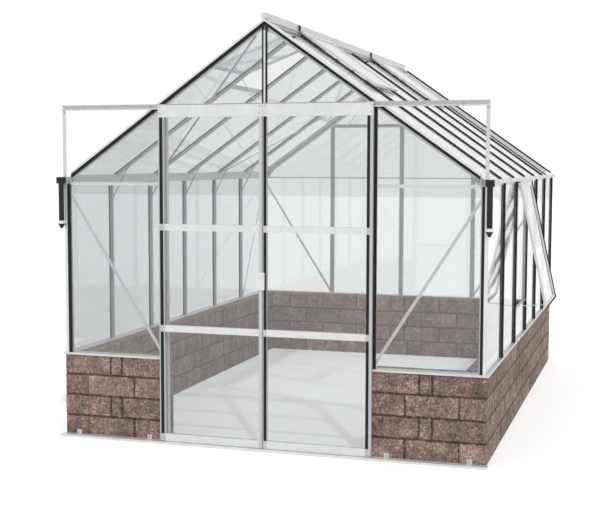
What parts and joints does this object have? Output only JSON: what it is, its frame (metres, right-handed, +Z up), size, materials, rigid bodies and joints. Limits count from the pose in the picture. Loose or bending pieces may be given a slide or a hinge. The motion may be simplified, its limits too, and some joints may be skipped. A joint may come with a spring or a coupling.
{
  "type": "greenhouse",
  "caption": "Glazed greenhouse on a dry-laid block wall, with sliding front doors on an outside track, opening roof vents and a top-hung side window.",
  "frame": {"origin": "on the ground under the middle of the ground rail in front of the doors", "axes": "+Z up, +Y along the ridge from the door gable to the back gable, +X to the right seen from the front"},
  "size_m": [3.3992, 4.5482, 3.0498],
  "materials": {
    "blocks": "rough split face, red-brown and grey-brown mottled",
    "aluminium": "light anodised, satin",
    "black_rubber": "matte",
    "glass": "clear float glass",
    "black_plastic": "matte moulded",
    "white_plastic": "matte moulded"
  },
  "bodies": {
    "house": {"back_posts": "aluminium", "back_seals": "black_rubber", "back_transoms": "aluminium", "corner_gussets": "aluminium", "corner_posts": "aluminium", "door_header": "aluminium", "door_posts": "aluminium", "door_track": "aluminium", "downpipes": "black_plastic", "front_mullion": "aluminium", "front_seals": "black_rubber", "gable_rafters": "aluminium", "glass_back": "glass", "glass_front": "glass", "glass_roof": "glass", "glass_sides": "glass", "ground_rail": "aluminium", "gutters": "aluminium", "joint_strips": "aluminium", "knee_braces": "aluminium", "opening_trimmers": "aluminium", "pipe_clips": "white_plastic", "pipe_nozzles": "black_plastic", "rail_brackets": "aluminium", "ridge_beam": "aluminium", "roof_bars": "aluminium", "roof_braces": "aluminium", "roof_strips": "black_rubber", "side_bars": "aluminium", "side_strips": "black_rubber", "sills": "aluminium", "track_struts": "aluminium", "wall_back": "blocks", "wall_braces": "aluminium", "wall_front": "blocks", "wall_sides": "blocks"},
    "door_left": {"door_left_frame": "aluminium", "door_left_glass": "glass", "door_left_gaskets": "black_rubber", "door_handle": "aluminium"},
    "door_right": {"door_right_frame": "aluminium", "door_right_glass": "glass", "door_right_gaskets": "black_rubber"},
    "vent_left": {"vent_left_frame": "aluminium", "vent_left_glass": "glass"},
    "vent_left_stay": {"vent_left_stay": "aluminium"},
    "vent_right_front": {"vent_right_front_frame": "aluminium", "vent_right_front_glass": "glass"},
    "vent_right_front_stay": {"vent_right_front_stay": "aluminium"},
    "vent_right_rear": {"vent_right_rear_frame": "aluminium", "vent_right_rear_glass": "glass"},
    "vent_right_rear_stay": {"vent_right_rear_stay": "aluminium"},
    "window": {"window_frame": "aluminium", "window_glass": "glass", "window_seal": "black_rubber"},
    "window_stay": {"window_stay": "aluminium"},
    "roller_left_inner": {"roller_left_inner": "black_plastic"},
    "roller_left_outer": {"roller_left_outer": "black_plastic"},
    "roller_right_inner": {"roller_right_inner": "black_plastic"},
    "roller_right_outer": {"roller_right_outer": "black_plastic"}
  },
  "joints": [
    {"name": "door_left_slide", "type": "slide", "parent": "house", "child": "door_left", "axis": [-1, 0, 0], "range_m": [0, 0.74]},
    {"name": "roller_left_inner_spin", "type": "hinge", "parent": "door_left", "child": "roller_left_inner", "pos_m": [-0.092, 0.0121, 2.4173], "axis": [0, 1, 0], "range_deg": [-4720, 0]},
    {"name": "roller_left_outer_spin", "type": "hinge", "parent": "door_left", "child": "roller_left_outer", "pos_m": [-0.692, 0.0121, 2.4173], "axis": [0, 1, 0], "range_deg": [-4720, 0]},
    {"name": "door_right_slide", "type": "slide", "parent": "house", "child": "door_right", "axis": [1, 0, 0], "range_m": [0, 0.74]},
    {"name": "roller_right_inner_spin", "type": "hinge", "parent": "door_right", "child": "roller_right_inner", "pos_m": [0.092, 0.0121, 2.4173], "axis": [0, 1, 0], "range_deg": [0, 4720]},
    {"name": "roller_right_outer_spin", "type": "hinge", "parent": "door_right", "child": "roller_right_outer", "pos_m": [0.692, 0.0121, 2.4173], "axis": [0, 1, 0], "range_deg": [0, 4720]},
    {"name": "vent_left_hinge", "type": "hinge", "parent": "house", "child": "vent_left", "pos_m": [-0.034, 1.1566, 2.99846], "axis": [0, 1, 0], "range_deg": [-14.5, 20.5]},
    {"name": "vent_left_stay_turn", "type": "hinge", "parent": "vent_left", "child": "vent_left_stay", "pos_m": [-0.61874, 1.1566, 2.76361], "axis": [0, 1, 0], "range_deg": [-10.5, 7.5]},
    {"name": "vent_right_front_hinge", "type": "hinge", "parent": "house", "child": "vent_right_front", "pos_m": [0.034, 1.1566, 2.99846], "axis": [0, -1, 0], "range_deg": [0, 35]},
    {"name": "vent_right_front_stay_turn", "type": "hinge", "parent": "vent_right_front", "child": "vent_right_front_stay", "pos_m": [0.54131, 1.1566, 2.62468], "axis": [0, -1, 0], "range_deg": [-17.6, 0]},
    {"name": "vent_right_rear_hinge", "type": "hinge", "parent": "house", "child": "vent_right_rear", "pos_m": [0.034, 3.3886, 2.99846], "axis": [0, -1, 0], "range_deg": [0, 35]},
    {"name": "vent_right_rear_stay_turn", "type": "hinge", "parent": "vent_right_rear", "child": "vent_right_rear_stay", "pos_m": [0.54131, 3.3886, 2.62468], "axis": [0, -1, 0], "range_deg": [-17.6, 0]},
    {"name": "window_hinge", "type": "hinge", "parent": "house", "child": "window", "pos_m": [1.58, 1.9006, 1.8827], "axis": [0, -1, 0], "range_deg": [-12.5, 5.5]},
    {"name": "window_stay_turn", "type": "hinge", "parent": "window", "child": "window_stay", "pos_m": [1.7805, 1.6316, 0.91824], "axis": [0, -1, 0], "range_deg": [-3, 6.5]}
  ],
  "couplings": [
    {"joint": "roller_left_inner_spin", "follows": "door_left_slide", "rad_per_m": -111.11},
    {"joint": "roller_left_outer_spin", "follows": "door_left_slide", "rad_per_m": -111.11},
    {"joint": "roller_right_inner_spin", "follows": "door_right_slide", "rad_per_m": 111.11},
    {"joint": "roller_right_outer_spin", "follows": "door_right_slide", "rad_per_m": 111.11},
    {"joint": "vent_left_stay_turn", "follows": "vent_left_hinge", "ratio": -0.5},
    {"joint": "vent_right_front_stay_turn", "follows": "vent_right_front_hinge", "ratio": -0.5},
    {"joint": "vent_right_rear_stay_turn", "follows": "vent_right_rear_hinge", "ratio": -0.5},
    {"joint": "window_stay_turn", "follows": "window_hinge", "ratio": -0.5}
  ]
}
